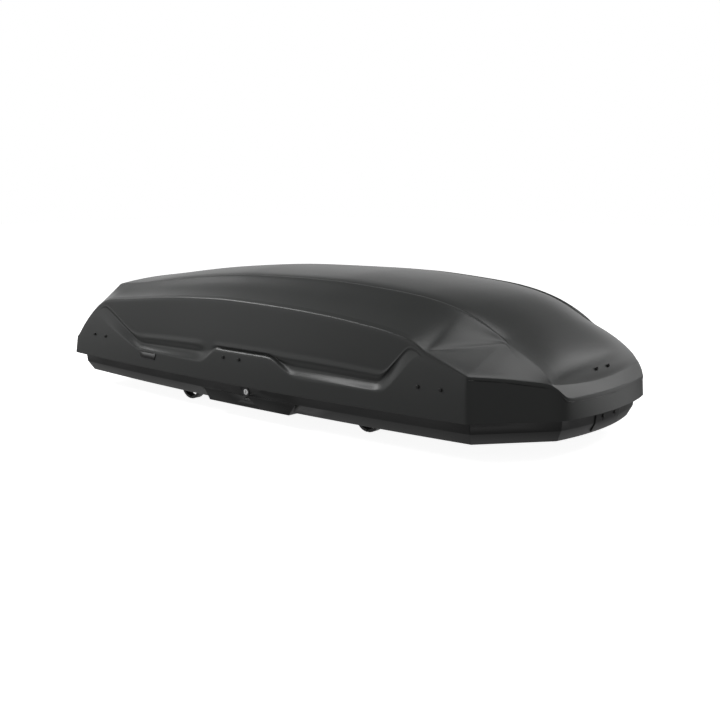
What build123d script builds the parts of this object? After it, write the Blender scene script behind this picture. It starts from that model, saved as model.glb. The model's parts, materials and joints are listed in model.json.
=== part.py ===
from build123d import *
import math
import os

# Roof cargo box, millimetres. While it is modelled, X runs forward from the rear rim, Y to the left and Z up
# from the lid's lower rim. Every node is moved by FRAME_SHIFT when it is written, so that the part's origin
# is midway between the four roof-bar clamps, on the plane of the roof bars' tops.

# ---- overall form ----
LENGTH = 1900.0
REAR_HALF = 347.5
MIDDLE_STATION = 852.0
MIDDLE_HALF = 420.3
CORNER_STATION = 1703.0
CORNER_HALF = 415.4
NOSE_STATION = 1872.0
NOSE_HALF = 220.0
LID_WALL = 4.0
LID_LOFT_LEVELS = ((0.0, 0.0), (100.0, 5.0), (345.0, 46.0))
SHOULDER_HALF = 238.0
SECTION_HALF = 470.0
INSIDE_EXTRA = 1.15
# station, centre height, shoulder height, slope of the flank outside the shoulder
ROOF_STATIONS = (
    (-8.0, 52.0, 50.0, 0.04),
    (8.0, 66.0, 64.0, 0.04),
    (60.0, 162.0, 148.0, 0.30),
    (121.0, 257.0, 239.0, 0.50),
    (172.0, 266.0, 246.0, 0.40),
    (225.0, 272.0, 251.0, 0.38),
    (262.0, 277.0, 255.0, 0.40),
    (340.0, 288.0, 267.0, 0.42),
    (500.0, 307.0, 286.0, 0.40),
    (760.0, 324.0, 307.0, 0.40),
    (1100.0, 326.0, 310.0, 0.42),
    (1285.0, 317.0, 300.0, 0.43),
    (1420.0, 304.0, 287.0, 0.45),
    (1490.0, 294.0, 276.0, 0.47),
    (1563.0, 278.0, 256.0, 0.52),
    (1618.0, 260.0, 233.0, 0.50),
    (1698.0, 222.0, 186.0, 0.39),
    (1780.0, 172.0, 130.0, 0.24),
    (1839.0, 130.0, 92.0, 0.13),
    (1857.0, 94.0, 78.0, 0.10),
    (1886.0, 52.0, 51.0, 0.02),
    (1912.0, 26.0, 25.0, 0.02),
)

# ---- base tray ----
BASE_WALL = 4.0
BASE_RIM_INSET = 25.0
BASE_STEP_INSET = 28.0
BASE_FLOOR_INSET = 44.0
BASE_TOP = 4.0
BASE_STEP = -32.0
BASE_FLOOR = -62.0
BASE_FLANGE_INSET = 12.0
BASE_FLANGE_THICK = 4.0
KEEL_BOTTOM = -68.0
KEEL_REAR = 734.0
KEEL_FRONT = 1106.0
KEEL_SLANT = 28.0
KEEL_INSET = 29.0

# ---- hinge and latch units, three to a side ----
HINGE_HALF = 310.0
HINGE_HEIGHT = -10.0
HINGE_STATIONS = (165.0, 863.0, 1584.0)
RIVET_SPACING = 69.0
RIVET_HEIGHT = 77.0
LUG_HALF = 10.0
LUG_RADIUS = 7.0
POST_TOP = 90.0
ARM_BOTTOM = 76.0
BARREL_RADIUS = 12.0
BARREL_HALF = 15.0
SLOT_HALF = 10.4
TRUNNION_RADIUS = 8.0
TRUNNION_END = 20.0
CHEEK_INNER = 15.3
CHEEK_OUTER = 20.5
RUNNING_GAP = 0.1
LOCK_PIN_RADIUS = 3.0
LOCK_TRAVEL = 23.0
LOCK_BAR_HALF = 4.0
LOCK_BAR_LOW = -48.0
LOCK_BAR_HIGH = -44.0
PIN_REST_TIP = -11.0
PIN_LENGTH = 46.0

# ---- locks ----
LOCK_STATION = 904.0
LOCK_HEIGHT = -21.0
LOCK_FACE_INSET = 27.0
LOCK_PLUG_RADIUS = 8.5
LOCK_CASE_RADIUS = 13.5
BEZEL_RADIUS = 15.0
CRANK_RADIUS = LOCK_TRAVEL / math.sqrt(2)
CRANK_PIN_RADIUS = 3.0

# ---- lid lifters ----
LIFTER_STATIONS = (72.0, 1655.0)
TRACK_HALF_WIDTH = 13.0
TRACK_HALF_HEIGHT = 11.0
TRACK_HALF_LENGTH = 315.0
TRACK_WEB = 1.5
TRACK_LIP = 3.0
ROLLER_RADIUS = 7.7
ARM_NEAR = 14.5
ARM_FAR = 19.5
ARM_HALF_HEIGHT = 8.0

# ---- roof-bar clamps ----
CLAMP_STATIONS = (521.0, 1270.0)
CLAMP_HALF = 262.0
CLAMP_LENGTH = 116.0
CLAMP_WIDTH = 44.0
CLAMP_TOP = -10.0
PAD_THICK = 4.0
BAR_PLANE = BASE_FLOOR - PAD_THICK
JAW_OUTER = 44.0
JAW_THICK = 9.0
JAW_WIDTH = 26.0
JAW_PIVOT_X = 39.0
JAW_PIVOT_Z = -44.0
JAW_PIN_RADIUS = 4.0
KNOB_RADIUS = 25.0
KNOB_HEIGHT = 20.0
RAIL_WIDTH = 52.0
RAIL_THICK = 2.5
RAIL_EDGE = 8.0
RAIL_ENDS = (330.0, 1480.0)

# ---- nose ----
NOSE_RIVET_HALF = 33.0
NOSE_RIVET_STATION = 1851.0
NOSE_RIVET_HEIGHT = 106.0
NOSE_PANEL_HALF = 70.0
NOSE_BASE_RIVET_HEIGHT = -18.0

# ---- frame ----
ORIGIN_STATION = sum(CLAMP_STATIONS) / 2
FRAME_SHIFT = Pos(-ORIGIN_STATION, 0, -BAR_PLANE)
RIGHT = -1.0
LEFT = 1.0


def block(x_pair, y_pair, z_pair):
    """A box between two stations, two sides and two heights."""
    size = [abs(pair[1] - pair[0]) for pair in (x_pair, y_pair, z_pair)]
    middle = [(pair[0] + pair[1]) / 2 for pair in (x_pair, y_pair, z_pair)]
    return Pos(*middle) * Box(*size)


def rod_x(x_pair, y, z, radius):
    """A round bar along X."""
    length = x_pair[1] - x_pair[0]
    return Pos((x_pair[0] + x_pair[1]) / 2, y, z) * Rot(0, 90, 0) * Cylinder(radius, length)


def rod_y(x, y_pair, z, radius):
    """A round bar along Y."""
    length = abs(y_pair[1] - y_pair[0])
    return Pos(x, (y_pair[0] + y_pair[1]) / 2, z) * Rot(90, 0, 0) * Cylinder(radius, length)


def rod_z(x, y, z_pair, radius):
    """A round bar along Z."""
    length = z_pair[1] - z_pair[0]
    return Pos(x, y, (z_pair[0] + z_pair[1]) / 2) * Cylinder(radius, length)


def half_width(station):
    """Half the lid's width at its rim, along the bowed side."""
    t = station / CORNER_STATION
    rear_share = REAR_HALF * 2 * (t - 0.5) * (t - 1)
    middle_share = MIDDLE_HALF * 4 * t * (1 - t)
    front_share = CORNER_HALF * 2 * t * (t - 0.5)
    return rear_share + middle_share + front_share


def inset_corner(corner, normal_a, normal_b, inset):
    """The point where two outline edges meet once both have moved inwards by the inset."""
    determinant = normal_a[0] * normal_b[1] - normal_a[1] * normal_b[0]
    shift_x = -inset * (normal_b[1] - normal_a[1]) / determinant
    shift_y = -inset * (normal_a[0] - normal_b[0]) / determinant
    return corner[0] + shift_x, corner[1] + shift_y


def plan_face(inset, height):
    """The box's outline seen from above, moved inwards by the inset: bowed sides, two nose facets, round nose."""
    run = NOSE_STATION - CORNER_STATION
    rise = CORNER_HALF - NOSE_HALF
    facet = (rise / math.hypot(run, rise), run / math.hypot(run, rise))
    sagitta = LENGTH - NOSE_STATION
    nose_radius = (NOSE_HALF**2 + sagitta**2) / (2 * sagitta)
    nose_normal = (math.sqrt(1 - (NOSE_HALF / nose_radius) ** 2), NOSE_HALF / nose_radius)
    corner = inset_corner((CORNER_STATION, CORNER_HALF), (0.0, 1.0), facet, inset)
    nose = inset_corner((NOSE_STATION, NOSE_HALF), facet, nose_normal, inset)
    rear = (inset, REAR_HALF - inset)
    middle = (MIDDLE_STATION, MIDDLE_HALF - inset)
    left_side = ThreePointArc(rear, middle, corner)
    left_facet = Line(corner, nose)
    nose_arc = ThreePointArc(nose, (LENGTH - inset, 0), (nose[0], -nose[1]))
    right_facet = Line((nose[0], -nose[1]), (corner[0], -corner[1]))
    right_side = ThreePointArc((corner[0], -corner[1]), (middle[0], -middle[1]), (rear[0], -rear[1]))
    back = Line((rear[0], -rear[1]), rear)
    outline = left_side + left_facet + nose_arc + right_facet + right_side + back
    return Pos(0, 0, height) * make_face(outline)


def roof_section(station, centre, shoulder, slope):
    """One cross-section of the roof: crowned top between the shoulders, straight flanks outside them."""
    edge = shoulder - slope * (SECTION_HALF - SHOULDER_HALF)
    below = -60.0
    crown = ThreePointArc((-SHOULDER_HALF, shoulder), (0, centre), (SHOULDER_HALF, shoulder))
    flanks = Polyline((-SHOULDER_HALF, shoulder), (-SECTION_HALF, edge), (-SECTION_HALF, below),
                      (SECTION_HALF, below), (SECTION_HALF, edge), (SHOULDER_HALF, shoulder))
    return Plane(origin=(station, 0, 0), x_dir=(0, 1, 0), z_dir=(1, 0, 0)) * make_face(crown + flanks)


def lid_form(inset, below=0.0):
    """The solid inside the lid's surface, moved inwards by the inset, and down past the rim by below."""
    drop = inset * INSIDE_EXTRA
    sections = [roof_section(s, c - drop, h - drop, slope) for s, c, h, slope in ROOF_STATIONS]
    roof = loft(sections, ruled=True)
    levels = [plan_face(inset + lean, height) for height, lean in LID_LOFT_LEVELS]
    walls = loft(levels, ruled=True)
    if below > 0:
        walls = walls + extrude(plan_face(inset, -below), below)
    return walls & roof


def base_form(inset):
    """The solid inside the base tray's surface, moved inwards by the inset, with its deeper middle."""
    upper = loft([plan_face(BASE_STEP_INSET + inset, BASE_STEP), plan_face(BASE_RIM_INSET + inset, BASE_TOP)])
    lower = loft([
        plan_face(BASE_FLOOR_INSET + inset, BASE_FLOOR + inset),
        plan_face(BASE_STEP_INSET + inset, BASE_STEP),
    ])
    depth = BASE_STEP - KEEL_BOTTOM - inset
    keel = extrude(plan_face(KEEL_INSET + inset, KEEL_BOTTOM + inset), depth)
    rear = KEEL_REAR + inset
    front = KEEL_FRONT - inset
    profile = Polyline((rear - KEEL_SLANT, BASE_STEP), (rear, KEEL_BOTTOM), (front - KEEL_SLANT, KEEL_BOTTOM),
                       (front, BASE_STEP), (rear - KEEL_SLANT, BASE_STEP))
    keel = keel & extrude(Plane.XZ * make_face(profile), LENGTH / 2, both=True)
    return upper + lower + keel


def mirrored(shape):
    """The same piece on the other side of the box."""
    return mirror(shape, about=Plane.XZ)


def group(shapes):
    """Several separate solids in one node."""
    solids = []
    for shape in shapes:
        solids.extend(shape.solids())
    return Compound(solids)


def on_wall(station, height):
    """The lid wall's outer half-width at a station, at a height below its first lean level."""
    return half_width(station) - LID_LOFT_LEVELS[1][1] * height / LID_LOFT_LEVELS[1][0]


def lid_rivet_places():
    """Station and half-width of each side rivet, two at every hinge unit."""
    stations = [s + step * RIVET_SPACING / 2 for s in HINGE_STATIONS for step in (-1, 1)]
    return [(s, on_wall(s, RIVET_HEIGHT)) for s in stations]


def side_rivet(station, half, radius=2.4):
    """A blind rivet with a domed head on the lid's outer wall, on the right side."""
    shank = rod_y(station, (-half - 0.5, -half + 8.0), RIVET_HEIGHT, radius)
    head = rod_y(station, (-half - 2.4, -half + 0.5), RIVET_HEIGHT, 5.0)
    head = fillet(head.edges().group_by(Axis.Y)[0], 1.9)
    return head + shank


def nose_rivet(side, radius=2.4):
    """A blind rivet in the lid's nose."""
    y = side * NOSE_RIVET_HALF
    shank = rod_x((NOSE_RIVET_STATION - 14.0, NOSE_RIVET_STATION), y, NOSE_RIVET_HEIGHT, radius)
    head = rod_x((NOSE_RIVET_STATION - 0.5, NOSE_RIVET_STATION + 2.4), y, NOSE_RIVET_HEIGHT, 5.0)
    return head + shank


def make_lid_shell(outside, inside):
    shell = outside - inside
    for station, half in lid_rivet_places():
        shell -= rod_y(station, (-half - 5.0, -half + 12.0), RIVET_HEIGHT, 2.4)
        shell -= rod_y(station, (half - 12.0, half + 5.0), RIVET_HEIGHT, 2.4)
    for side in (RIGHT, LEFT):
        shell -= rod_x((NOSE_STATION - 60.0, LENGTH), side * NOSE_RIVET_HALF, NOSE_RIVET_HEIGHT, 2.4)
    return shell


def make_lid_stiffener(inside, side):
    """A bonded rib that follows the roof from behind the nose to the tail."""
    under = lid_form(LID_WALL + 12.0, 1.0)
    y_pair = (side * 105.0, side * 140.0)
    return (inside - under) & block((430.0, 1450.0), y_pair, (150.0, 400.0))


def make_lid_lug(station, inside):
    """Bracket riveted inside the lid wall, with an arm in to a post whose round foot sits in the barrel."""
    z = HINGE_HEIGHT
    post = block((station - LUG_HALF, station + LUG_HALF), (-HINGE_HALF - 7, -HINGE_HALF + 7), (z, POST_TOP))
    foot = rod_x((station - LUG_HALF, station + LUG_HALF), -HINGE_HALF, z, LUG_RADIUS)
    reach = (-half_width(station) - 5.0, -HINGE_HALF + 7)
    arm = block((station - 18.0, station + 18.0), reach, (POST_TOP - 6.0, POST_TOP))
    plate_half = RIVET_SPACING / 2 + 12.0
    strip = (inside - lid_form(LID_WALL + 3.0, 1.0)) & block(
        (station - plate_half, station + plate_half), (-LENGTH, -HINGE_HALF - 15), (RIVET_HEIGHT - 12, POST_TOP + 6))
    bracket = post + foot + (arm & inside) + strip
    bracket -= rod_x((station - 20, station + 20), -HINGE_HALF, z, LOCK_PIN_RADIUS + 0.3)
    for step in (-1, 1):
        x = station + step * RIVET_SPACING / 2
        bracket -= rod_y(x, (-LENGTH, -HINGE_HALF - 10), RIVET_HEIGHT, 2.4)
    return bracket


def make_barrel(station):
    """Slotted barrel that holds the lug's foot and turns with it in the housing."""
    y, z = -HINGE_HALF, HINGE_HEIGHT
    body = rod_x((station - BARREL_HALF, station + BARREL_HALF), y, z, BARREL_RADIUS)
    trunnions = rod_x((station - TRUNNION_END, station + TRUNNION_END), y, z, TRUNNION_RADIUS)
    slot = block((station - SLOT_HALF, station + SLOT_HALF), (y - 7.4, y + 7.4), (z, z + 40.0))
    seat = rod_x((station - SLOT_HALF, station + SLOT_HALF), y, z, LUG_RADIUS + 0.4)
    bore = rod_x((station - 40, station + 40), y, z, LOCK_PIN_RADIUS + 0.3)
    return body + trunnions - slot - seat - bore


def make_hinge_housing(station, inside):
    """Two cheeks on a foot, moulded to reach the tray's wall, with the barrel's bearings in them."""
    y, z = -HINGE_HALF, HINGE_HEIGHT
    wall = (-LENGTH, y + 16.0)
    cheeks = [block((station + a, station + b), (-half_width(station), y + 16.0), (-LENGTH, z + 13.0))
              for a, b in ((-CHEEK_OUTER, -CHEEK_INNER), (CHEEK_INNER, CHEEK_OUTER))]
    foot = block((station - 34.0, station + 34.0), wall, (-LENGTH, BASE_FLOOR + BASE_WALL + 5.0))
    body = (foot + cheeks[0] + cheeks[1]) & inside
    bearing = rod_x((station - 40, station + 40), y, z, TRUNNION_RADIUS + RUNNING_GAP)
    channel = block((station - 60, station + 60), (y - LOCK_BAR_HALF - 1, y + LOCK_BAR_HALF + 1),
                    (LOCK_BAR_LOW - 1, LOCK_BAR_HIGH + 1))
    return body - bearing - channel


def make_lock_bar():
    """Flat bar along one side with three upright fingers, each carrying a pin in line with the hinge."""
    y, z = -HINGE_HALF, HINGE_HEIGHT
    width = (y - LOCK_BAR_HALF, y + LOCK_BAR_HALF)
    ends = (HINGE_STATIONS[0] - 58.0, HINGE_STATIONS[-1] + 20.0)
    bar = block(ends, width, (LOCK_BAR_LOW, LOCK_BAR_HIGH))
    for station in HINGE_STATIONS:
        tip = station + PIN_REST_TIP
        bar += rod_x((tip - PIN_LENGTH, tip), y, z, LOCK_PIN_RADIUS)
        bar += block((tip - PIN_LENGTH, tip - PIN_LENGTH + 5.0), width, (LOCK_BAR_LOW, z + 6.0))
    rest_x = LOCK_STATION - LOCK_TRAVEL / 2
    groove = CRANK_PIN_RADIUS + 0.8
    tab = block((rest_x - groove - 1.7, rest_x + groove + 1.7), (y - 5.0, y - 2.0), (LOCK_BAR_LOW, LOCK_HEIGHT - 5.0))
    tab -= block((rest_x - groove, rest_x + groove), (y - 10.0, y + 10.0), (LOCK_BAR_HIGH + 2.5, LOCK_HEIGHT))
    return bar + tab


def make_lock_plug():
    """Lock cylinder with a keyway, and the crank on its tail that drives the bar."""
    face = -half_width(LOCK_STATION) + LOCK_FACE_INSET - 1.5
    y = -HINGE_HALF
    x, z = LOCK_STATION, LOCK_HEIGHT
    plug = rod_y(x, (face, face + 34.0), z, LOCK_PLUG_RADIUS)
    plug -= block((x - 1.2, x + 1.2), (face - 1, face + 24.0), (z - 4.5, z + 4.5))
    tail = rod_y(x, (face + 33.0, y - 6.0), z, 4.0)
    reach = CRANK_RADIUS / math.sqrt(2)
    web = Pos(x - reach / 2, y - 8.0, z - reach / 2) * Rot(0, -45, 0) * Box(CRANK_RADIUS, 4.0, 9.0)
    crank_end = rod_y(x - reach, (y - 10.0, y - 6.0), z - reach, 5.0)
    crank_pin = rod_y(x - reach, (y - 7.0, y - 1.0), z - reach, CRANK_PIN_RADIUS)
    hub = rod_y(x, (y - 10.0, y - 6.0), z, 7.0)
    return plug + tail + hub + web + crank_end + crank_pin


def make_lock_case():
    """Round casing and bezel fixed in the tray's wall around the lock cylinder."""
    face = -half_width(LOCK_STATION) + LOCK_FACE_INSET
    case = rod_y(LOCK_STATION, (face + 0.5, face + 28.0), LOCK_HEIGHT, LOCK_CASE_RADIUS)
    bezel = rod_y(LOCK_STATION, (face - 2.0, face + 1.0), LOCK_HEIGHT, BEZEL_RADIUS)
    bezel = fillet(bezel.edges().group_by(Axis.Y)[0], 1.4)
    return case + bezel - rod_y(LOCK_STATION, (-LENGTH, 0), LOCK_HEIGHT, LOCK_PLUG_RADIUS + RUNNING_GAP)


def make_track(station, inside):
    """Cross rail of the lid: a channel on each face for a lifter roller, hung from the roof by two plates."""
    z = HINGE_HEIGHT
    width = (station - TRACK_HALF_WIDTH, station + TRACK_HALF_WIDTH)
    reach = (-TRACK_HALF_LENGTH, TRACK_HALF_LENGTH)
    track = block(width, reach, (z - TRACK_HALF_HEIGHT, z + TRACK_HALF_HEIGHT))
    inner_height = TRACK_HALF_HEIGHT - TRACK_LIP
    for step in (-1, 1):
        pair = (station + step * TRACK_WEB, station + step * TRACK_HALF_WIDTH * 2)
        track -= block(pair, (-LENGTH, LENGTH), (z - inner_height, z + inner_height))
    for side in (RIGHT, LEFT):
        y_pair = (side * 216.0, side * 256.0)
        track += block((station - 1.5, station + 1.5), y_pair, (z + inner_height, LENGTH)) & inside
    return track


def make_lifter_arm(station, face):
    """Arm from the centre pivot to the hinge line on the right, with its roller stub at the tip."""
    z = HINGE_HEIGHT
    near, far = station + face * ARM_NEAR, station + face * ARM_FAR
    bar = block((near, far), (-HINGE_HALF, 0), (z - ARM_HALF_HEIGHT, z + ARM_HALF_HEIGHT))
    pair = (min(near, far), max(near, far))
    ends = rod_x(pair, -HINGE_HALF, z, ARM_HALF_HEIGHT) + rod_x(pair, 0, z, ARM_HALF_HEIGHT)
    inner = station + face * 4.0
    stub = rod_x((min(inner, near), max(inner, near)), -HINGE_HALF, z, 3.0)
    outer = station + face * (ARM_FAR + 16.0)
    pivot = rod_x((min(far, outer), max(far, outer)), 0, z, 5.0)
    return bar + ends + stub + pivot


def make_roller(station, face):
    z = HINGE_HEIGHT
    pair = sorted((station + face * 4.0, station + face * 12.5))
    return rod_x(pair, -HINGE_HALF, z, ROLLER_RADIUS) - rod_x((0, LENGTH), -HINGE_HALF, z, 3.0 + RUNNING_GAP)


def make_lifter_bracket(station, inside):
    """Floor bracket at the middle of the tray that carries the pivots of two lifter arms."""
    z = HINGE_HEIGHT
    foot = block((station - 50.0, station + 50.0), (-32.0, 32.0), (-LENGTH, BASE_FLOOR + BASE_WALL + 4.0))
    bracket = foot
    for face in (-1, 1):
        pair = (station + face * (ARM_FAR + 12.0), station + face * (ARM_FAR + 16.0))
        bracket += block(pair, (-18.0, 18.0), (BASE_FLOOR, z + 12.0))
    bracket = bracket & inside
    return bracket - rod_x((station - 80, station + 80), 0, z, 5.0 + RUNNING_GAP)


def make_lifter_springs(station):
    """Torsion springs around the two arm pivots, as plain sleeves of their outer size."""
    springs = []
    for face in (-1, 1):
        pair = sorted((station + face * (ARM_FAR + 0.8), station + face * (ARM_FAR + 11.2)))
        springs.append(rod_x(pair, 0, HINGE_HEIGHT, 10.0) - rod_x((0, LENGTH), 0, HINGE_HEIGHT, 7.0))
    return springs


def make_rail():
    """Steel channel along the tray floor under the two clamps of one side."""
    z = BASE_FLOOR + BASE_WALL
    y = (-CLAMP_HALF - RAIL_WIDTH / 2, -CLAMP_HALF + RAIL_WIDTH / 2)
    rail = block(RAIL_ENDS, y, (z, z + RAIL_EDGE))
    rail -= block((0, LENGTH), (y[0] + RAIL_THICK, y[1] - RAIL_THICK), (z + RAIL_THICK, z + RAIL_EDGE + 1))
    for station in CLAMP_STATIONS:
        rail -= jaw_slots(station)
    return rail


def jaw_slots(station):
    """The two slots that a clamp's jaws hang through."""
    y = (-CLAMP_HALF - JAW_WIDTH / 2 - 1.5, -CLAMP_HALF + JAW_WIDTH / 2 + 1.5)
    slots = block((station - 56.0, station - 27.0), y, (-LENGTH, CLAMP_TOP - 12))
    return slots + block((station + 27.0, station + 56.0), y, (-LENGTH, CLAMP_TOP - 12))


def make_clamp_housing(station):
    """Moulded cover over one clamp, open below, with bearings for the jaw pins and the screw."""
    z = BASE_FLOOR + BASE_WALL + RAIL_THICK
    x = (station - CLAMP_LENGTH / 2, station + CLAMP_LENGTH / 2)
    y = (-CLAMP_HALF - CLAMP_WIDTH / 2, -CLAMP_HALF + CLAMP_WIDTH / 2)
    cover = block(x, y, (z, CLAMP_TOP))
    top_edges = cover.edges().group_by(Axis.Z)[-1]
    cover = fillet(top_edges, 5.0)
    hollow = block((x[0] + 3, x[1] - 3), (y[0] + 4, y[1] - 4), (z - 1, CLAMP_TOP - 4))
    cover -= hollow
    for step in (-1, 1):
        cover -= rod_y(station + step * JAW_PIVOT_X, (y[0] - 1, y[1] + 1), JAW_PIVOT_Z, JAW_PIN_RADIUS)
    return cover - rod_z(station, -CLAMP_HALF, (z, 0), 6.0 + RUNNING_GAP)


def make_jaw(station, step):
    """Curved hook below the floor on an arm up to its pivot pin; step says which end of the clamp."""
    y = (-CLAMP_HALF - JAW_WIDTH / 2, -CLAMP_HALF + JAW_WIDTH / 2)
    ring = rod_y(station, y, BAR_PLANE, JAW_OUTER) - rod_y(station, y, BAR_PLANE, JAW_OUTER - JAW_THICK)
    tip_gap = 2.0
    lower = block((station + step * tip_gap, station + step * 60), y, (BAR_PLANE - 60, BAR_PLANE))
    hook = ring & lower
    inner = station + step * (JAW_OUTER - JAW_THICK)
    outer = station + step * JAW_OUTER
    arm = block((inner, outer), y, (BAR_PLANE, JAW_PIVOT_Z))
    eye = rod_y(station + step * JAW_PIVOT_X, y, JAW_PIVOT_Z, 8.0)
    bore = rod_y(station + step * JAW_PIVOT_X, (-LENGTH, 0), JAW_PIVOT_Z, JAW_PIN_RADIUS + RUNNING_GAP)
    return hook + arm + eye - bore


def make_jaw_pins(station):
    y = (-CLAMP_HALF - CLAMP_WIDTH / 2, -CLAMP_HALF + CLAMP_WIDTH / 2)
    return [rod_y(station + step * JAW_PIVOT_X, y, JAW_PIVOT_Z, JAW_PIN_RADIUS) for step in (-1, 1)]


def make_clamp_screw(station):
    """Screw under the knob with a collar below the cover."""
    y = -CLAMP_HALF
    screw = rod_z(station, y, (JAW_PIVOT_Z - 6.0, CLAMP_TOP + 8.0), 6.0)
    return screw + rod_z(station, y, (CLAMP_TOP - 9.0, CLAMP_TOP - 4.4), 10.0)


def make_clamp_knob(station):
    """Torque knob with a scalloped grip and a winged handle."""
    y = -CLAMP_HALF
    low = CLAMP_TOP + 0.5
    knob = rod_z(station, y, (low, low + 9.0), KNOB_RADIUS)
    scallops = 10
    for i in range(scallops):
        angle = 2 * math.pi * i / scallops
        x_cut = station + (KNOB_RADIUS + 3.0) * math.cos(angle)
        y_cut = y + (KNOB_RADIUS + 3.0) * math.sin(angle)
        knob -= rod_z(x_cut, y_cut, (low - 1, low + 12), 5.0)
    wing = block((station - 20.0, station + 20.0), (y - 5.0, y + 5.0), (low + 8.0, low + KNOB_HEIGHT))
    wing = fillet(wing.edges().filter_by(Axis.Z), 4.5)
    return knob + wing - rod_z(station, y, (low - 1, CLAMP_TOP + 8.0), 6.0)


def make_clamp_pad(station):
    y = (-CLAMP_HALF - 22.0, -CLAMP_HALF + 22.0)
    pad = block((station - 26.0, station + 26.0), y, (BAR_PLANE, BASE_FLOOR))
    return fillet(pad.edges().filter_by(Axis.Z), 5.0)


def make_base_tray(form, hollow):
    """The moulded tray with its rim flange, and openings for the locks, the jaws and the nose rivets."""
    flange = extrude(plan_face(BASE_FLANGE_INSET, BASE_TOP - BASE_FLANGE_THICK), BASE_FLANGE_THICK)
    flange -= extrude(plan_face(BASE_RIM_INSET + BASE_WALL, BASE_TOP - 10), 20)
    tray = form + flange - hollow - Pos(0, 0, 1) * hollow
    for side in (RIGHT, LEFT):
        y_pair = sorted((side * (HINGE_HALF + 40.0), side * LENGTH))
        tray -= rod_y(LOCK_STATION, y_pair, LOCK_HEIGHT, LOCK_CASE_RADIUS)
        lock_face = half_width(LOCK_STATION) - LOCK_FACE_INSET - 1.0
        tray -= rod_y(LOCK_STATION, sorted((side * lock_face, side * LENGTH)), LOCK_HEIGHT, BEZEL_RADIUS)
        tray -= rod_x((NOSE_STATION - 30, LENGTH), side * NOSE_RIVET_HALF, NOSE_BASE_RIVET_HEIGHT, 2.4)
    for station in CLAMP_STATIONS:
        slots = jaw_slots(station)
        tray = tray - slots - mirrored(slots)
    return tray


def make_nose_panel():
    """Proud panel on the tray's nose."""
    band = base_form(-2.5) - base_form(0.0)
    panel = band & block((NOSE_STATION - 60, LENGTH), (-NOSE_PANEL_HALF, NOSE_PANEL_HALF), (BASE_FLOOR + 6, -2.0))
    for side in (RIGHT, LEFT):
        panel -= rod_x((NOSE_STATION - 60, LENGTH), side * NOSE_RIVET_HALF, NOSE_BASE_RIVET_HEIGHT, 2.4)
    return panel


def make_nose_strike(inside):
    """Guide inside the tray's nose that the lid's tongue drops into."""
    x = (NOSE_STATION - 30.0, NOSE_STATION)
    plate = block(x, (-45.0, 45.0), (-LENGTH, BASE_TOP)) & inside
    plate -= block((0, x[0] + 14.0), (-27.0, 27.0), (-40.0, LENGTH))
    for side in (RIGHT, LEFT):
        plate -= rod_x((NOSE_STATION - 60, LENGTH), side * NOSE_RIVET_HALF, NOSE_BASE_RIVET_HEIGHT, 2.4)
    return plate


def make_nose_tongue(inside):
    """Tongue riveted inside the lid's nose."""
    x = NOSE_STATION - 29.5
    blade = block((x, x + 4.0), (-20.0, 20.0), (-14.0, NOSE_RIVET_HEIGHT + 4))
    head = block((x, x + 4.0), (-48.0, 48.0), (NOSE_RIVET_HEIGHT - 14, NOSE_RIVET_HEIGHT + 4))
    tongue = (blade + head) & inside
    for side in (RIGHT, LEFT):
        tongue -= rod_x((NOSE_STATION - 60, LENGTH), side * NOSE_RIVET_HALF, NOSE_RIVET_HEIGHT, 2.4)
    return tongue


def make_nose_base_rivet(side):
    face = LENGTH - BASE_STEP_INSET + 2.5
    y = side * NOSE_RIVET_HALF
    shank = rod_x((face - 14.0, face - 1.0), y, NOSE_BASE_RIVET_HEIGHT, 2.4)
    return shank + rod_x((face - 1.0, face + 3.0), y, NOSE_BASE_RIVET_HEIGHT, 5.0)


def make_badge():
    """Blank plate on the lid's side, with a slanted rear end."""
    band = lid_form(-1.4) - lid_form(0.0)
    outline = Polyline((406, 50), (415, 30), (490, 30), (497, 50), (406, 50))
    prism = extrude(Plane.XZ * make_face(outline), LENGTH / 2)
    return band & prism


def export(name, shape):
    placed = FRAME_SHIFT * shape
    export_step(placed, f"parts/{name}.step")


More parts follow.
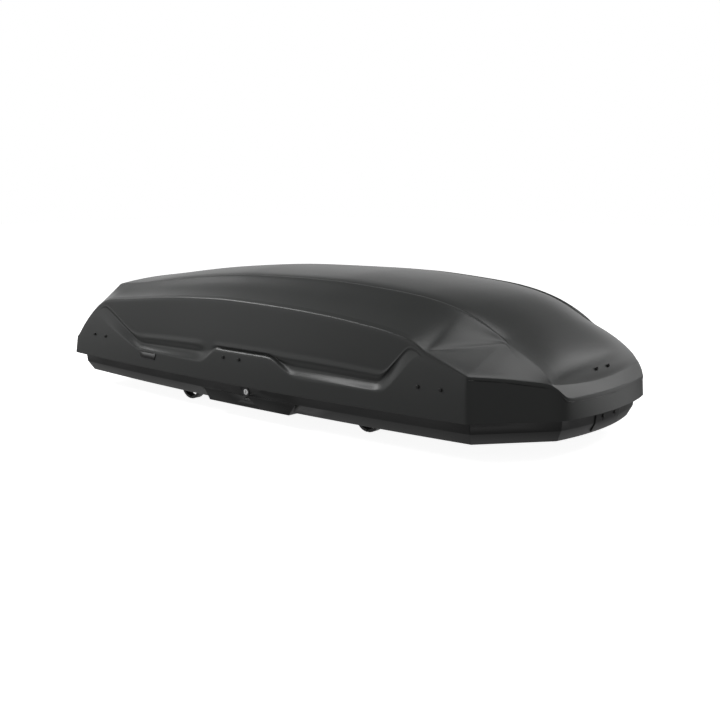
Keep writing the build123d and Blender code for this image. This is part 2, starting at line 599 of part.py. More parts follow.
def main():
    os.makedirs("parts", exist_ok=True)
    outside = lid_form(0.0)
    inside = lid_form(LID_WALL, 60.0)
    export("lid_shell", make_lid_shell(outside, inside))
    for name, side in (("right", RIGHT), ("left", LEFT)):
        export(f"lid_stiffener_{name}", make_lid_stiffener(inside, side))
    tray_form = base_form(0.0)
    tray_hollow = base_form(BASE_WALL)
    export("base_tray", make_base_tray(tray_form, tray_hollow))

    lugs = [make_lid_lug(station, inside) for station in HINGE_STATIONS]
    barrels = [make_barrel(station) for station in HINGE_STATIONS]
    housings = [make_hinge_housing(station, tray_hollow) for station in HINGE_STATIONS]
    rail = make_rail()
    side_pieces = {
        "lid_hinge_lugs": group(lugs),
        "hinge_barrels": group(barrels),
        "hinge_housings": group(housings),
        "lock_bar": make_lock_bar(),
        "lock_cylinder": make_lock_plug(),
        "lock_case": make_lock_case(),
        "floor_rail": rail,
        "badge_plate": make_badge(),
    }
    for name, piece in side_pieces.items():
        export(f"right_{name}", piece)
        export(f"left_{name}", mirrored(piece))

    side_rivets = [side_rivet(station, half) for station, half in lid_rivet_places()]
    nose_rivets = [nose_rivet(side) for side in (RIGHT, LEFT)]
    export("lid_rivets", group(side_rivets + [mirrored(r) for r in side_rivets] + nose_rivets))
    export("nose_panel", make_nose_panel())
    export("nose_strike", make_nose_strike(tray_hollow))
    export("nose_tongue", make_nose_tongue(inside))
    export("nose_base_rivets", group([make_nose_base_rivet(side) for side in (RIGHT, LEFT)]))

    springs = []
    for end, station in zip(("rear", "front"), LIFTER_STATIONS):
        export(f"{end}_lifter_track", make_track(station, inside))
        export(f"{end}_lifter_bracket", make_lifter_bracket(station, tray_hollow))
        export(f"{end}_right_lifter_arm", make_lifter_arm(station, -1))
        export(f"{end}_left_lifter_arm", mirrored(make_lifter_arm(station, 1)))
        export(f"{end}_right_lifter_roller", make_roller(station, -1))
        export(f"{end}_left_lifter_roller", mirrored(make_roller(station, 1)))
        springs.extend(make_lifter_springs(station))
    export("lifter_springs", group(springs))

    pins = []
    pads = []
    screws = {}
    for end, station in zip(("rear", "front"), CLAMP_STATIONS):
        clamp = {
            "clamp_housing": make_clamp_housing(station),
            "clamp_knob": make_clamp_knob(station),
            "clamp_screw": make_clamp_screw(station),
            "jaw_behind": make_jaw(station, -1),
            "jaw_ahead": make_jaw(station, 1),
        }
        for name, piece in clamp.items():
            export(f"{end}_right_{name}", piece)
            export(f"{end}_left_{name}", mirrored(piece))
        pins.extend(make_jaw_pins(station))
        pads.append(make_clamp_pad(station))
    export("jaw_pins", group(pins + [mirrored(pin) for pin in pins]))
    export("bar_pads", group(pads + [mirrored(pad) for pad in pads]))


main()
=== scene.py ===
import json
import math

import bmesh
import bpy
import numpy as np
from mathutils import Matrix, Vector


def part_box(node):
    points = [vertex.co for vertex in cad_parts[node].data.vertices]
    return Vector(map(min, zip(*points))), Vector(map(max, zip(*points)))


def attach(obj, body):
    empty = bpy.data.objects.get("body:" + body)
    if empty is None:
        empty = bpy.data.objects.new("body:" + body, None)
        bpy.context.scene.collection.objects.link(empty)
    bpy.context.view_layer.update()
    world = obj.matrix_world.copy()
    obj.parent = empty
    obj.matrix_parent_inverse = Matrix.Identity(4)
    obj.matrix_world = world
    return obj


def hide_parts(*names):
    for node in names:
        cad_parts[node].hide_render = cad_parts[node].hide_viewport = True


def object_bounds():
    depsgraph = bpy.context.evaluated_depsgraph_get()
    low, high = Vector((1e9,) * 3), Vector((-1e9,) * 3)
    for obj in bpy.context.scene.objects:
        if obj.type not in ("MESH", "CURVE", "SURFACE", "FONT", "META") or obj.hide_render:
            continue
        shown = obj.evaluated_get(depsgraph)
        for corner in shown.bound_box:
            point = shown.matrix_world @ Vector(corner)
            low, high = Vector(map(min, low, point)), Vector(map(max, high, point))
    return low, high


# Roof cargo box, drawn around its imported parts. Shapes below are in millimetres in the box's own frame:
# x is the station forward from the rear rim, y is to the left and z is up from the lid's lower rim.
# to_frame() takes them into the shared frame, in metres.

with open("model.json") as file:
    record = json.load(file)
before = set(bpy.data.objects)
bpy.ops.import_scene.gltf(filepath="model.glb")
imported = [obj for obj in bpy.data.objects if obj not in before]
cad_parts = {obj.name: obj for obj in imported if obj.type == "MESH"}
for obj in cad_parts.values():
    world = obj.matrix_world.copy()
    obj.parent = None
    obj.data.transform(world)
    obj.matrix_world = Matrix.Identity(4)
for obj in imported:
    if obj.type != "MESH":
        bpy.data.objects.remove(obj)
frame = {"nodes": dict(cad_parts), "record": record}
cad_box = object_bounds()
MM = 0.001
LID_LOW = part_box("lid_shell")[0]

# ---- plan outline of the lid's rim ----
REAR_HALF = 347.5
MIDDLE = (852.0, 420.3)
CORNER = (1703.0, 415.4)
NOSE = (1872.0, 220.0)
APEX = 1900.0
FACET_LEAN = 0.115
CHAMFER_TIP = 1884.0
CHAMFER_CORNER = (1869.5, 217.0)
HOOD_TIP = 1856.0
HOOD_CORNER = (1837.5, 240.0, 91.0)

# ---- lid lines: pairs of station and height ----
SIDE_TOP = ((0, 58), (8, 62), (60, 112), (127, 166), (150, 182), (192, 199), (330, 214), (443, 226), (549, 236),
            (699, 245), (837, 249), (967, 247), (1127, 241), (1276, 231), (1346, 223), (1414, 215), (1481, 203),
            (1522, 192), (1563, 169), (1630, 145), (1695, 118))
SHOULDER = ((0, 50), (8, 64), (60, 149), (112, 229), (121, 240), (130, 243), (172, 247), (225, 252), (262, 256),
            (300, 262), (339, 267), (491, 285), (634, 299), (770, 307), (981, 311), (1138, 309), (1285, 300),
            (1424, 287), (1490, 276), (1555, 259), (1618, 233), (1698, 186), (1740, 166), (1783, 142), (1819, 114),
            (1839, 90))
CENTRE = ((0, 52), (8, 66), (60, 161), (112, 246), (121, 257), (130, 260), (162, 264), (200, 269), (262, 277),
          (340, 288), (500, 307), (760, 324), (1100, 326), (1285, 317), (1420, 304), (1490, 294), (1563, 278),
          (1618, 260), (1698, 222), (1780, 174), (1820, 147), (1840, 127), (1850, 106), (1854, 94), (1856, 78))
SIDE_INSET = ((0, 0), (60, 4), (120, 10.2), (200, 21.5), (345, 46))
SHOULDER_HALF = 238.0
VALLEY_END = (1698.0, 246.0, 184.0)
VALLEY_START = 1563.0

# ---- the side panel's lower edge: groove and bevels ----
OUTER_EDGE = ((0, 146), (137, 146), (392, 57), (421, 60), (718, 54), (740, 61), (787, 97), (1029, 97), (1111, 57),
              (1138, 54), (1415, 53), (1440, 57), (1457, 69), (1552, 178), (1900, 178))
VALLEY_LINE = ((0, 196), (160, 196), (174, 186), (412, 65), (430, 67), (718, 60), (740, 67), (787, 104),
               (1029, 104), (1111, 64), (1138, 60), (1400, 60), (1416, 70), (1516, 179), (1560, 196), (1900, 196))
NOSE_EDGE = 178.0
NOSE_VALLEY = 196.0
PANEL_FOOT = 60.0
RECESS = 9.5
GROOVE_DEPTH = 6.5
BEAD_HEIGHT = 2.6
PANEL_HOLLOW = 0.8
SKIN = 3.6

# ---- camera and floor, in metres ----
CAMERA_PLACE = (2.2115, -2.528, 0.653)
CAMERA_TARGET = (0.1189, 0.0, 0.101)
CAMERA_LENS = 52.5
LIGHT_TARGET = (0.0, 0.0, 0.2)
FLOOR_HALF = 14.0
FLOOR_GAP = 0.001

# ---- surroundings: pairs of the sine of the elevation and the light from there ----
GLOW = ((-1, 0.42), (-0.6, 0.42), (-0.3, 0.16), (-0.14, 0.2), (-0.03, 0.42), (0.05, 0.75), (0.17, 1.15),
        (0.26, 0.6), (0.42, 0.2), (1, 0.14))
GLOW_GAIN = 1.2
FLAG_SIDE = (0.78, -0.62, 0.0)
FLAG_EDGE = (0.1, 0.75)
FLAG_GLOW = 0.55

# ---- lifter springs ----
HINGE_HEIGHT = -10.0
LIFTER_STATIONS = (72.0, 1655.0)
COIL_RADIUS = 8.5
WIRE_RADIUS = 1.3
COIL_START = 22.2
COIL_LENGTH = 7.0

# ---- edge radii of the carried-over parts ----
SHALLOW_EDGES = ("base_tray",)
SHALLOW_ANGLE = 14
SHARP_ANGLE = 36
EDGE_RADII = {"base_tray": 1.6, "nose_panel": 0.9, "lid_rivets": 0.9, "nose_base_rivets": 0.9, "badge_plate": 0.7,
              "jaw_ahead": 1.2, "jaw_behind": 1.2, "clamp_housing": 0.9, "clamp_knob": 0.9, "lock_case": 0.6}

# ---- the lid's cage: stations of its columns, shares of the facet and of the roof's width ----
SIDE_STATIONS = (0, 13, 45, 85, 109, 121, 132, 152, 176, 200, 245, 300, 350, 392, 412, 430, 480, 560, 640, 700,
                 722, 740, 765, 787, 805, 850, 920, 990, 1022, 1042, 1070, 1100, 1120, 1145, 1210, 1290, 1360,
                 1400, 1418, 1438, 1460, 1488, 1512, 1535, 1552, 1563, 1575, 1600, 1635, 1668, 1686)
WALL_ROWS = 18
FACET_SHARES = (0.0, 0.07, 0.15, 0.3, 0.5, 0.67, 0.76, 0.81, 0.85)
FACET_CENTRES = (1702, 1714, 1729, 1757, 1793, 1826, 1844, 1852, 1856)
ACROSS = (1.0, 0.972, 0.945, 0.87, 0.72, 0.54, 0.36, 0.18, 0.0)


def to_frame(point):
    """A box-frame point in millimetres as a shared-frame point in metres."""
    return Vector((point[0] * MM + LID_LOW.x, point[1] * MM, point[2] * MM + LID_LOW.z))


def line_through(points):
    """A smooth line through a few (x, value) pairs that never overshoots them, level beyond its ends."""
    xs, ys = np.array(points, float).T
    steps = np.diff(xs)
    slopes = np.diff(ys) / steps
    tangents = np.concatenate([slopes[:1], np.zeros(len(xs) - 2), slopes[-1:]])
    for i in range(1, len(xs) - 1):
        if slopes[i - 1] * slopes[i] > 0:
            near = 2 * steps[i] + steps[i - 1]
            far = steps[i] + 2 * steps[i - 1]
            tangents[i] = (near + far) / (near / slopes[i - 1] + far / slopes[i])

    def value(x):
        x = min(max(x, xs[0]), xs[-1])
        i = min(int(np.searchsorted(xs, x, side="right")) - 1, len(steps) - 1)
        t = (x - xs[i]) / steps[i]
        ends = (1 + 2 * t) * (1 - t) ** 2 * ys[i] + t * t * (3 - 2 * t) * ys[i + 1]
        return ends + steps[i] * (t * (1 - t) ** 2 * tangents[i] + t * t * (t - 1) * tangents[i + 1])

    return value


def straight_through(points):
    """Straight runs between a few (x, value) pairs."""
    xs, ys = np.array(points, float).T
    return lambda x: float(np.interp(x, xs, ys))


def ramp(x, start, end):
    """0 before start, 1 after end, smooth between."""
    t = min(max((x - start) / (end - start), 0.0), 1.0)
    return t * t * (3 - 2 * t)


def arc_through(a, b, c):
    """Half-width against station on the circle through three plan points."""
    (ax, ay), (bx, by), (cx, cy) = a, b, c
    d = 2 * (ax * (by - cy) + bx * (cy - ay) + cx * (ay - by))
    a2, b2, c2 = ax * ax + ay * ay, bx * bx + by * by, cx * cx + cy * cy
    ux = (a2 * (by - cy) + b2 * (cy - ay) + c2 * (ay - by)) / d
    uy = (a2 * (cx - bx) + b2 * (ax - cx) + c2 * (bx - ax)) / d
    radius = math.hypot(ax - ux, ay - uy)
    return lambda x: uy + math.sqrt(radius**2 - (x - ux) ** 2)


side_half = arc_through((0.0, REAR_HALF), MIDDLE, CORNER)
side_top = line_through(SIDE_TOP)
shoulder_height = line_through(SHOULDER)
centre_height = line_through(CENTRE)
side_inset = line_through(SIDE_INSET)
outer_edge = straight_through(OUTER_EDGE)
valley_line = straight_through(VALLEY_LINE)

FACET_RUN = Vector((NOSE[0] - CORNER[0], NOSE[1] - CORNER[1]))
FACET_OUT = Vector((-FACET_RUN.y, FACET_RUN.x)).normalized()
FACET_TOP = line_through(((0.0, 119), (0.323, 112), (0.622, 100), (0.85, 90), (1.0, 55)))


def facet_lean(share):
    """The nose facet's lean, which eases off towards the nose corner."""
    return FACET_LEAN * (1 - 0.55 * ramp(share, 0.8, 1.0))


def wall_levels(top, outer, valley):
    """Heights of a wall column's rows from the rim up, following the panel's lower edge."""
    levels = [0.0, 3.5, outer * 0.38, outer * 0.72, outer - 7.0, outer - 1.5]
    levels += [outer + share * (valley - outer) for share in (0.25, 0.7)]
    levels += [valley - 0.5, valley + 2.4, valley + 5.2, valley + 8.5, valley + 13.0]
    start, end = valley + 13.0, top - 13.0
    levels += [start + share * (end - start) for share in (0.3, 0.65, 1.0)]
    levels += [top - 4.5]
    count = len(levels)
    squeezed = [min(z, top - 2.4 * (count - i)) for i, z in enumerate(levels)]
    lowest_step = top / (WALL_ROWS + 3)
    return [max(z, lowest_step * i * 0.9) for i, z in enumerate(squeezed)] + [top]


def wall_offsets(x, levels, detail):
    """How far each row of a side column stands out from the plain wall.

    With detail 1 it is the outer skin. With detail 0 it is the inner skin, which has no bead and takes the deepest
    of each row and its neighbours.
    """
    groove = max(ramp(x, 396, 425) - ramp(x, 700, 738), ramp(x, 782, 800) - ramp(x, 1450, 1500))
    behind = 0.55 * (ramp(x, 160, 240) - ramp(x, 396, 425))
    ahead = 0.3 * (ramp(x, 1450, 1500) - ramp(x, 1530, 1550))
    faint = max(groove, behind, ahead)
    recess = RECESS * ramp(x, 140, 200) * (1 - ramp(x, 1530, 1560))
    recess *= 1 - 0.5 * (ramp(x, 450, 800) - ramp(x, 1000, 1400))
    depth = GROOVE_DEPTH * faint
    bead = BEAD_HEIGHT * faint * detail
    hollow = PANEL_HOLLOW * (ramp(x, 160, 300) - ramp(x, 1480, 1556))
    top = levels[-1]

    def panel(z):
        share = min(max((z - PANEL_FOOT) / (top - PANEL_FOOT), 0.0), 1.0)
        return -recess * (1 - share) - hollow * 4 * share * (1 - share)

    edge = panel(levels[8])
    ridge = ramp(x, 120, 260) * (1 - ramp(x, 1640, 1690))
    offsets = [0.0, 0.0, 0.0, 0.0, 0.0, 0.0]
    offsets += [0.25 * edge - 0.45 * depth, 0.7 * edge - 0.95 * depth]
    offsets += [edge - depth, panel(levels[9]) + 0.2 * bead, panel(levels[10]) + bead]
    offsets += [panel(z) for z in levels[11:16]] + [-0.6 * ridge, -2.6 * ridge]
    if detail:
        return offsets
    return [min(offsets[max(i - 1, 0):i + 2]) for i in range(len(offsets))]


def valley_point(top, shoulder, x):
    """Where the dark line above the side facet, from the side's corner to the shoulder, crosses a column."""
    span = (shoulder - top).length
    strip = 15.0 - 10.0 * ramp(x, 1500, VALLEY_START)
    if x <= VALLEY_START:
        return top.lerp(shoulder, min(strip / span, 0.5))
    if x >= VALLEY_END[0]:
        return top.lerp(shoulder, 1 - min((9.0 + 16.0 * ramp(x, 1700, 1740)) / span, 0.4))
    run = (x - VALLEY_START) / (VALLEY_END[0] - VALLEY_START)
    start_y = side_half(VALLEY_START) - side_inset(side_top(VALLEY_START)) - 4.5
    start_z = side_top(VALLEY_START) + 2.0
    y = start_y + run * (VALLEY_END[1] - start_y)
    return Vector((top.x, y, start_z + run * (VALLEY_END[2] - start_z)))


def band_column(x, top, shoulder):
    """Rows from the wall's top edge up to the shoulder: side facet, valley and band."""
    top, shoulder = Vector(top), Vector(shoulder)
    valley = valley_point(top, shoulder, x)
    wing = ramp(x, VALLEY_START - 30, VALLEY_START + 30) * (1 - ramp(x, 1690, 1712))
    hollow = 7.0 * (1 - ramp(x, 1500, 1640)) * ramp(x, 60, 300)
    fold = ramp(x, 1590, 1698) * (1 - ramp(x, 1700, 1800))
    points = []
    for part in (0.22, 0.5, 0.8, 1.0):
        point = top.lerp(valley, part)
        point.z -= 1.6 * wing * ramp(part, 0.7, 1.0) + 16.0 * fold * part * (1 - part)
        points.append(point)
    ridge = ramp(x, 150, 500) * (1 - ramp(x, 1675, 1700))
    soft = 0.2 * ramp(x, 1700, 1740)
    for part in (0.06, 0.32, 0.58 - 0.4 * soft, 0.82 - 0.8 * soft, 0.95 - soft):
        point = valley.lerp(shoulder, part)
        point.z -= hollow * 4 * part * (1 - part)
        point.z += 1.6 * wing * (1 - part) ** 2
        point.z += 6.5 * ridge * ramp(part, 0.5, 0.95)
        points.append(point)
    return points


def roof_row(shoulder, centre_x, centre_z):
    """Points across the roof from the shoulder to the centre line."""
    power = 2.2 + 0.8 * ramp(centre_x, 1450, 1840)
    soft = 1 + 1.3 * ramp(centre_x, 1705, 1745)
    ridge = ramp(shoulder[0], 150, 500) * (1 - ramp(shoulder[0], 1675, 1700))
    points = []
    for place, share in enumerate(ACROSS):
        dip = {0: -2.2, 1: 4.6, 2: 2.4}.get(place, 0.0)
        share = 1 - (1 - share) * soft if place < 3 else share
        x = shoulder[0] + (centre_x - shoulder[0]) * (1 - share**2)
        z = shoulder[2] + (centre_z - shoulder[2]) * (1 - share**power)
        points.append((x, shoulder[1] * share, z - dip * ridge))
    return points


def nose_arc(y, tip, edge, half):
    """A shallow arc in plan from the nose tip out to a half-width."""
    return tip - (tip - edge) * (y / half) ** 2


def side_columns(detail):
    """Each column of the lid's side, with its roof points, from the rear corner to the hood's corner."""
    columns, roof = [], []
    for x in SIDE_STATIONS:
        top = side_top(x)
        half = side_half(x)
        levels = wall_levels(top, outer_edge(x), valley_line(x))
        offsets = wall_offsets(x, levels, detail)
        lean_back = 8.0 * (1 - ramp(x, 0, 60))
        wall = []
        for z, offset in zip(levels, offsets):
            wall.append((x + lean_back * z / 62.0, half - side_inset(z) + offset, z))
        rounding = 1.6 * ramp(x, 120, 260) * (1 - ramp(x, 1640, 1690))
        wall[-1] = (wall[-1][0], wall[-1][1], wall[-1][2] - rounding)
        shoulder = (wall[-1][0], SHOULDER_HALF, shoulder_height(max(x, 8)))
        columns.append(wall + band_column(x, wall[-1], shoulder) + [shoulder])
        roof.append(roof_row(shoulder, wall[-1][0], centre_height(max(x, 8))))
    for share, centre_x in zip(FACET_SHARES, FACET_CENTRES):
        rim = Vector(CORNER) + FACET_RUN * share
        top = FACET_TOP(share)
        levels = wall_levels(top, NOSE_EDGE, NOSE_VALLEY)
        wall = []
        for z in levels:
            inward = FACET_OUT * (-facet_lean(share) * z)
            if share == 0:
                inward.y = max(inward.y, -side_inset(z))
            wall.append((rim.x + inward.x, rim.y + inward.y, z))
        at_shoulder = wall[-1][0]
        half = SHOULDER_HALF + 5.0 * min(share / 0.3, 1.0)
        shoulder = (at_shoulder, half, shoulder_height(at_shoulder))
        if share == FACET_SHARES[-1]:
            shoulder = HOOD_CORNER
        columns.append(wall + band_column(at_shoulder, wall[-1], shoulder) + [shoulder])
        roof.append(roof_row(shoulder, centre_x, centre_height(centre_x)))
    return columns, roof


def nose_columns(roof_front):
    """Columns of the nose wall and chamfer strip, one for each point of the hood's front edge."""
    corner_rims = (0.93, 1.0)
    lower_halves = (0.82, 0.66, 0.49, 0.32, 0.16, 0.0)
    columns = []
    for i, upper in enumerate(roof_front[1:]):
        if i < len(corner_rims):
            share = corner_rims[i]
            rim = Vector(CORNER) + FACET_RUN * share
            top_z = FACET_TOP(share)
            inward = FACET_OUT * (-facet_lean(share) * top_z)
            top = Vector((rim.x + inward.x, rim.y + inward.y, top_z))
        else:
            y = NOSE[1] * lower_halves[i - len(corner_rims)]
            rim = Vector((nose_arc(y, APEX, NOSE[0], NOSE[1]), y))
            y_top = y * 217 / 220
            x_top = nose_arc(y_top, CHAMFER_TIP, *CHAMFER_CORNER)
            top = Vector((x_top, y_top, 52 + 3 * (y / NOSE[1]) ** 2))
        levels = wall_levels(top.z, NOSE_EDGE, NOSE_VALLEY)
        wall = [(rim.x + (top.x - rim.x) * z / top.z, rim.y + (top.y - rim.y) * z / top.z, z) for z in levels]
        upper = Vector(upper)
        parts = (0.07, 0.16, 0.3, 0.42, 0.54, 0.66, 0.78, 0.88, 0.95)
        strip = [top.lerp(upper, part) for part in parts]
        columns.append(wall + strip + [upper])
    return columns


def lid_cage(detail):
    """The left half of the lid's surface as a cage of four-sided faces, in millimetres in the box's own frame."""
    sides, roof = side_columns(detail)
    front = roof[-1]
    for j, share in enumerate(ACROSS):
        y = front[0][1] * share
        front[j] = (nose_arc(y, HOOD_TIP, HOOD_CORNER[0], HOOD_CORNER[1]), y, 78.0 + 13.0 * share**2)
    columns = sides + nose_columns(front)
    points = [list(p) for column in columns for p in column]
    rows = len(columns[0])
    side_index = [[c * rows + r for r in range(rows)] for c in range(len(columns))]

    def add(point):
        points.append(list(point))
        return len(points) - 1

    roof_index = []
    for i, row in enumerate(roof[:-1]):
        roof_index.append([side_index[i][-1]] + [add(p) for p in row[1:]])
    roof_index.append([side_index[len(roof) - 1 + j][-1] for j in range(len(ACROSS))])

    top_row = WALL_ROWS - 1
    along_back = side_index[0][top_row:] + roof_index[0][1:]
    back_index = [side_index[0][:WALL_ROWS]]
    for top_vertex in along_back[1:]:
        top = points[top_vertex]
        share_y = top[1] / points[along_back[0]][1]
        column = []
        for r in range(top_row):
            corner = points[side_index[0][r]]
            share_z = corner[2] / points[side_index[0][top_row]][2]
            column.append(add((corner[0] + (top[0] - 8.0) * share_z, corner[1] * share_y, top[2] * share_z)))
        back_index.append(column + [top_vertex])

    faces = []
    for grid, flipped in ((side_index, False), (roof_index, False), (back_index, True)):
        for a, b in zip(grid, grid[1:]):
            for r in range(len(a) - 1):
                face = (a[r], a[r + 1], b[r + 1], b[r])
                faces.append(face[::-1] if flipped else face)
    return points, faces


def both_sides(name, points, faces):
    """A mesh of a half, given on the left, joined to its mirror image on the right."""
    mesh = bmesh.new()
    for sign in (1, -1):
        corners = [mesh.verts.new(to_frame((x, sign * y, z))) for x, y, z in points]
        for face in faces:
            ordered = face if sign > 0 else face[::-1]
            mesh.faces.new([corners[i] for i in ordered])
    bmesh.ops.remove_doubles(mesh, verts=mesh.verts, dist=2e-5)
    bmesh.ops.recalc_face_normals(mesh, faces=mesh.faces)
    data = bpy.data.meshes.new(name)
    mesh.to_mesh(data)
    mesh.free()
    piece = bpy.data.objects.new(name, data)
    bpy.context.scene.collection.objects.link(piece)
    return piece


def shade_smooth(piece):
    piece.data.shade_smooth()
    return piece


def smoothed(piece, levels):
    """The piece with its cage turned into the smooth surface that it describes."""
    modifier = piece.modifiers.new("smooth", "SUBSURF")
    modifier.levels = levels
    modifier.render_levels = levels
    modifier.boundary_smooth = "ALL"
    depsgraph = bpy.context.evaluated_depsgraph_get()
    data = bpy.data.meshes.new_from_object(piece.evaluated_get(depsgraph))
    piece.modifiers.clear()
    piece.data = data
    return piece


def pushed_in(piece, thickness):
    """Moves a cage's points inwards along their normals and turns its faces over."""
    mesh = bmesh.new()
    mesh.from_mesh(piece.data)
    mesh.normal_update()
    rim = min(v.co.z for v in mesh.verts)
    moves = {v: v.normal * thickness for v in mesh.verts}
    for v, move in moves.items():
        if v.co.z < rim + 1e-5:
            move.z = 0.0
            move.length = thickness
        v.co -= move
    bmesh.ops.reverse_faces(mesh, faces=mesh.faces)
    mesh.to_mesh(piece.data)
    mesh.free()
    return piece


def closed_skin(name, outer, inner):
    """One closed piece from an outer and an inner skin, joined round their open rims."""
    mesh = bmesh.new()
    mesh.from_mesh(outer.data)
    mesh.from_mesh(inner.data)
    rims = [e for e in mesh.edges if e.is_boundary]
    bmesh.ops.bridge_loops(mesh, edges=rims)
    bmesh.ops.recalc_face_normals(mesh, faces=mesh.faces)
    mesh.to_mesh(outer.data)
    mesh.free()
    outer.name = name
    bpy.data.objects.remove(inner)
    return shade_smooth(outer)


def make_lid():
    outer = smoothed(both_sides("lid_outer", *lid_cage(1.0)), 2)
    inner = smoothed(pushed_in(both_sides("lid_inner", *lid_cage(0.0)), SKIN * MM), 1)
    lid = closed_skin("lid_moulding", outer, inner)
    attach(lid, "lid")
    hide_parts("lid_shell")
    return lid


def make_spring_coils():
    """The lifters' torsion springs: wire wound round both pivots at each end of the box."""
    mesh = bmesh.new()
    turns, steps, sides = 4, 28, 8
    for station in LIFTER_STATIONS:
        for face in (-1, 1):
            rings = []
            for i in range(turns * steps + 1):
                angle = 2 * math.pi * i / steps
                run = i / (turns * steps)
                ring = []
                for k in range(sides):
                    turn = 2 * math.pi * k / sides
                    radius = COIL_RADIUS + WIRE_RADIUS * math.cos(turn)
                    x = station + face * (COIL_START + run * COIL_LENGTH) + WIRE_RADIUS * math.sin(turn)
                    z = HINGE_HEIGHT + radius * math.sin(angle)
                    ring.append(mesh.verts.new(to_frame((x, radius * math.cos(angle), z))))
                rings.append(ring)
            for a, b in zip(rings, rings[1:]):
                for k in range(sides):
                    mesh.faces.new((a[k], a[(k + 1) % sides], b[(k + 1) % sides], b[k]))
            mesh.faces.new(rings[0][::-1])
            mesh.faces.new(rings[-1])
    bmesh.ops.recalc_face_normals(mesh, faces=mesh.faces)
    data = bpy.data.meshes.new("spring_coils")
    mesh.to_mesh(data)
    mesh.free()
    coils = bpy.data.objects.new("spring_coils", data)
    bpy.context.scene.collection.objects.link(coils)
    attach(coils, "base")
    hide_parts("lifter_springs")
    return shade_smooth(coils)


def round_edges(node, width, angle):
    """Small even radii on a hard-edged part, along edges sharper than the angle."""
    weld = node.modifiers.new("weld", "WELD")
    weld.merge_threshold = 1e-5
    bevel = node.modifiers.new("edges", "BEVEL")
    bevel.limit_method = "ANGLE"
    bevel.angle_limit = math.radians(angle)
    bevel.width = width * MM
    bevel.segments = 2
    bevel.use_clamp_overlap = False
    bevel.harden_normals = True


def plastic(name, colour, roughness, grain, depth, coat=0.0):
    """Moulded plastic: a fine grain, a slight unevenness in gloss and a soft mottle in its colour."""
    material = bpy.data.materials.new(name)
    material.use_nodes = True
    nodes, links = material.node_tree.nodes, material.node_tree.links
    shader = nodes["Principled BSDF"]
    place = nodes.new("ShaderNodeTexCoord")
    mottle = nodes.new("ShaderNodeTexNoise")
    mottle.inputs["Scale"].default_value = 9.0
    mottle.inputs["Detail"].default_value = 4.0
    links.new(place.outputs["Object"], mottle.inputs["Vector"])
    tint = nodes.new("ShaderNodeMapRange")
    tint.inputs["To Min"].default_value = 0.93
    tint.inputs["To Max"].default_value = 1.07
    links.new(mottle.outputs["Fac"], tint.inputs["Value"])
    base = nodes.new("ShaderNodeMix")
    base.data_type = "RGBA"
    base.blend_type = "MULTIPLY"
    base.inputs["Factor"].default_value = 1.0
    base.inputs["A"].default_value = (*colour, 1.0)
    links.new(tint.outputs["Result"], base.inputs["B"])
    links.new(base.outputs["Result"], shader.inputs["Base Color"])
    gloss = nodes.new("ShaderNodeMapRange")
    gloss.inputs["To Min"].default_value = roughness - 0.02
    gloss.inputs["To Max"].default_value = roughness + 0.02
    links.new(mottle.outputs["Fac"], gloss.inputs["Value"])
    links.new(gloss.outputs["Result"], shader.inputs["Roughness"])
    texture = nodes.new("ShaderNodeTexNoise")
    texture.inputs["Scale"].default_value = grain
    texture.inputs["Detail"].default_value = 2.0
    links.new(place.outputs["Object"], texture.inputs["Vector"])
    bump = nodes.new("ShaderNodeBump")
    bump.inputs["Strength"].default_value = depth
    bump.inputs["Distance"].default_value = 0.0004
    links.new(texture.outputs["Fac"], bump.inputs["Height"])
    links.new(bump.outputs["Normal"], shader.inputs["Normal"])
    shader.inputs["Coat Weight"].default_value = coat
    return material


def metal(name, colour, roughness, scale):
    """Plated or bare metal with a fine brushed unevenness."""
    material = plastic(name, colour, roughness, scale, 0.08)
    material.node_tree.nodes["Principled BSDF"].inputs["Metallic"].default_value = 1.0
    return material


def make_materials():
    return {
        "lid_plastic": plastic("lid_grained_abs", (0.0235, 0.0252, 0.0242), 0.37, 1900.0, 0.10),
        "base_plastic": plastic("base_abs", (0.009, 0.0093, 0.0093), 0.38, 1500.0, 0.12),
        "part_plastic": plastic("filled_nylon", (0.03, 0.03, 0.032), 0.55, 1200.0, 0.2),
        "knob_plastic": plastic("soft_grip", (0.09, 0.095, 0.10), 0.6, 900.0, 0.3),
        "steel": metal("zinc_plate", (0.55, 0.56, 0.58), 0.35, 600.0),
        "black_steel": plastic("black_coat", (0.018, 0.018, 0.019), 0.42, 700.0, 0.12),
        "spring_steel": metal("spring_wire", (0.35, 0.35, 0.36), 0.3, 800.0),
        "rubber": plastic("rubber_pad", (0.02, 0.02, 0.02), 0.8, 500.0, 0.4),
        "lock_metal": metal("satin_nickel", (0.96, 0.96, 0.96), 0.4, 700.0),
        "badge_plastic": plastic("piano_black", (0.006, 0.006, 0.006), 0.12, 300.0, 0.02, 0.6),
        "rivet_black": plastic("rivet_paint", (0.006, 0.006, 0.006), 0.5, 900.0, 0.05),
    }


def paint(piece, material):
    piece.data.materials.clear()
    piece.data.materials.append(material)


def soft_box(name, direction, distance, size, radiance):
    """A soft light facing the box from a direction, unseen by the camera itself."""
    data = bpy.data.lights.new(name, "AREA")
    data.shape = "RECTANGLE"
    data.size, data.size_y = size
    data.energy = radiance * math.pi * size[0] * size[1]
    light = bpy.data.objects.new(name, data)
    target = Vector(LIGHT_TARGET)
    light.location = target + Vector(direction).normalized() * distance
    light.rotation_euler = (target - light.location).to_track_quat("-Z", "Y").to_euler()
    light.visible_camera = False
    bpy.context.scene.collection.objects.link(light)


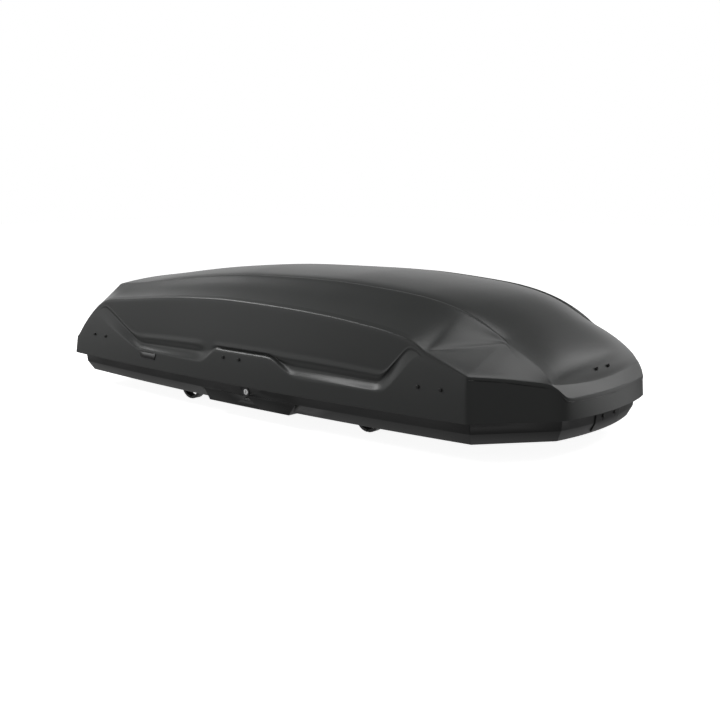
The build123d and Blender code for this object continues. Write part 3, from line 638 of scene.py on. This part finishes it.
def make_surroundings():
    """White to the eye; to the box, a pale horizon under a dim ceiling with a dark flag on one side."""
    world = bpy.data.worlds.new("surroundings")
    world.use_nodes = True
    nodes, links = world.node_tree.nodes, world.node_tree.links
    backdrop = nodes["Background"]
    place = nodes.new("ShaderNodeTexCoord")
    split = nodes.new("ShaderNodeSeparateXYZ")
    links.new(place.outputs["Generated"], split.inputs["Vector"])
    height = nodes.new("ShaderNodeMapRange")
    height.inputs["From Min"].default_value = -1.0
    links.new(split.outputs["Z"], height.inputs["Value"])
    glow = nodes.new("ShaderNodeValToRGB")
    glow.color_ramp.interpolation = "EASE"
    stops = glow.color_ramp.elements
    for rise, level in GLOW:
        stop = stops[0] if rise == -1 else stops[-1] if rise == 1 else stops.new((rise + 1) / 2)
        stop.color = (level, level, level, 1.0)
    links.new(height.outputs["Result"], glow.inputs["Fac"])
    towards = nodes.new("ShaderNodeVectorMath")
    towards.operation = "DOT_PRODUCT"
    towards.inputs[1].default_value = FLAG_SIDE
    links.new(place.outputs["Generated"], towards.inputs[0])
    flag = nodes.new("ShaderNodeMapRange")
    flag.interpolation_type = "SMOOTHSTEP"
    flag.inputs["From Min"].default_value = FLAG_EDGE[0]
    flag.inputs["From Max"].default_value = FLAG_EDGE[1]
    flag.inputs["To Min"].default_value = GLOW_GAIN
    flag.inputs["To Max"].default_value = FLAG_GLOW
    links.new(towards.outputs["Value"], flag.inputs["Value"])
    flagged = nodes.new("ShaderNodeMath")
    flagged.operation = "MULTIPLY"
    links.new(glow.outputs["Color"], flagged.inputs[0])
    links.new(flag.outputs["Result"], flagged.inputs[1])
    path = nodes.new("ShaderNodeLightPath")
    seen = nodes.new("ShaderNodeMix")
    links.new(path.outputs["Is Camera Ray"], seen.inputs["Factor"])
    links.new(flagged.outputs["Value"], seen.inputs["A"])
    seen.inputs["B"].default_value = 1.0
    links.new(seen.outputs["Result"], backdrop.inputs["Strength"])
    backdrop.inputs["Color"].default_value = (1.0, 1.0, 1.0, 1.0)
    bpy.context.scene.world = world


def make_floor():
    height = cad_box[0].z - FLOOR_GAP
    corners = [(x * FLOOR_HALF, y * FLOOR_HALF, height) for x, y in ((-1, -1), (1, -1), (1, 1), (-1, 1))]
    data = bpy.data.meshes.new("floor")
    data.from_pydata(corners, [], [(0, 1, 2, 3)])
    floor = bpy.data.objects.new("floor", data)
    bpy.context.scene.collection.objects.link(floor)
    paper = plastic("floor_paper", (0.8, 0.8, 0.8), 0.9, 60.0, 0.02)
    shader = paper.node_tree.nodes["Principled BSDF"]
    shader.inputs["Emission Color"].default_value = (1.0, 1.0, 1.0, 1.0)
    shader.inputs["Emission Strength"].default_value = 0.9
    shader.inputs["Specular IOR Level"].default_value = 0.0
    paint(floor, paper)
    floor.visible_glossy = False
    floor.visible_diffuse = False


def make_studio():
    """Camera, pale floor, white surroundings and soft lights."""
    camera_data = bpy.data.cameras.new("camera")
    camera_data.lens = CAMERA_LENS
    camera = bpy.data.objects.new("camera", camera_data)
    camera.location = CAMERA_PLACE
    target = Vector(CAMERA_TARGET)
    camera.rotation_euler = (target - camera.location).to_track_quat("-Z", "Y").to_euler()
    camera_data.clip_end = 60.0
    bpy.context.scene.collection.objects.link(camera)
    bpy.context.scene.camera = camera
    make_floor()
    make_surroundings()
    soft_box("hood_light", (0.62, 0.8, 0.6), 3.4, (1.5, 1.1), 2.6)
    soft_box("ridge_light", (-0.63, -0.36, 0.68), 3.2, (2.8, 0.6), 10.0)
    soft_box("front_key", (1.4, 0.15, 2.4), 2.8, (1.3, 2.3), 3.2)
    bpy.context.scene.view_settings.view_transform = "Standard"


def main():
    make_studio()
    materials = make_materials()
    slots = {part["node"]: part["material_slot"] for part in frame["record"]["subparts"]}
    for name, node in frame["nodes"].items():
        paint(node, materials[slots[name]])
        angle = SHALLOW_ANGLE if name in SHALLOW_EDGES else SHARP_ANGLE
        node.data.shade_smooth()
        node.data.set_sharp_from_angle(angle=math.radians(angle))
        for ending, width in EDGE_RADII.items():
            if name.endswith(ending):
                round_edges(node, width, angle)
    paint(make_lid(), materials["lid_plastic"])
    paint(make_spring_coils(), materials["spring_steel"])


main()
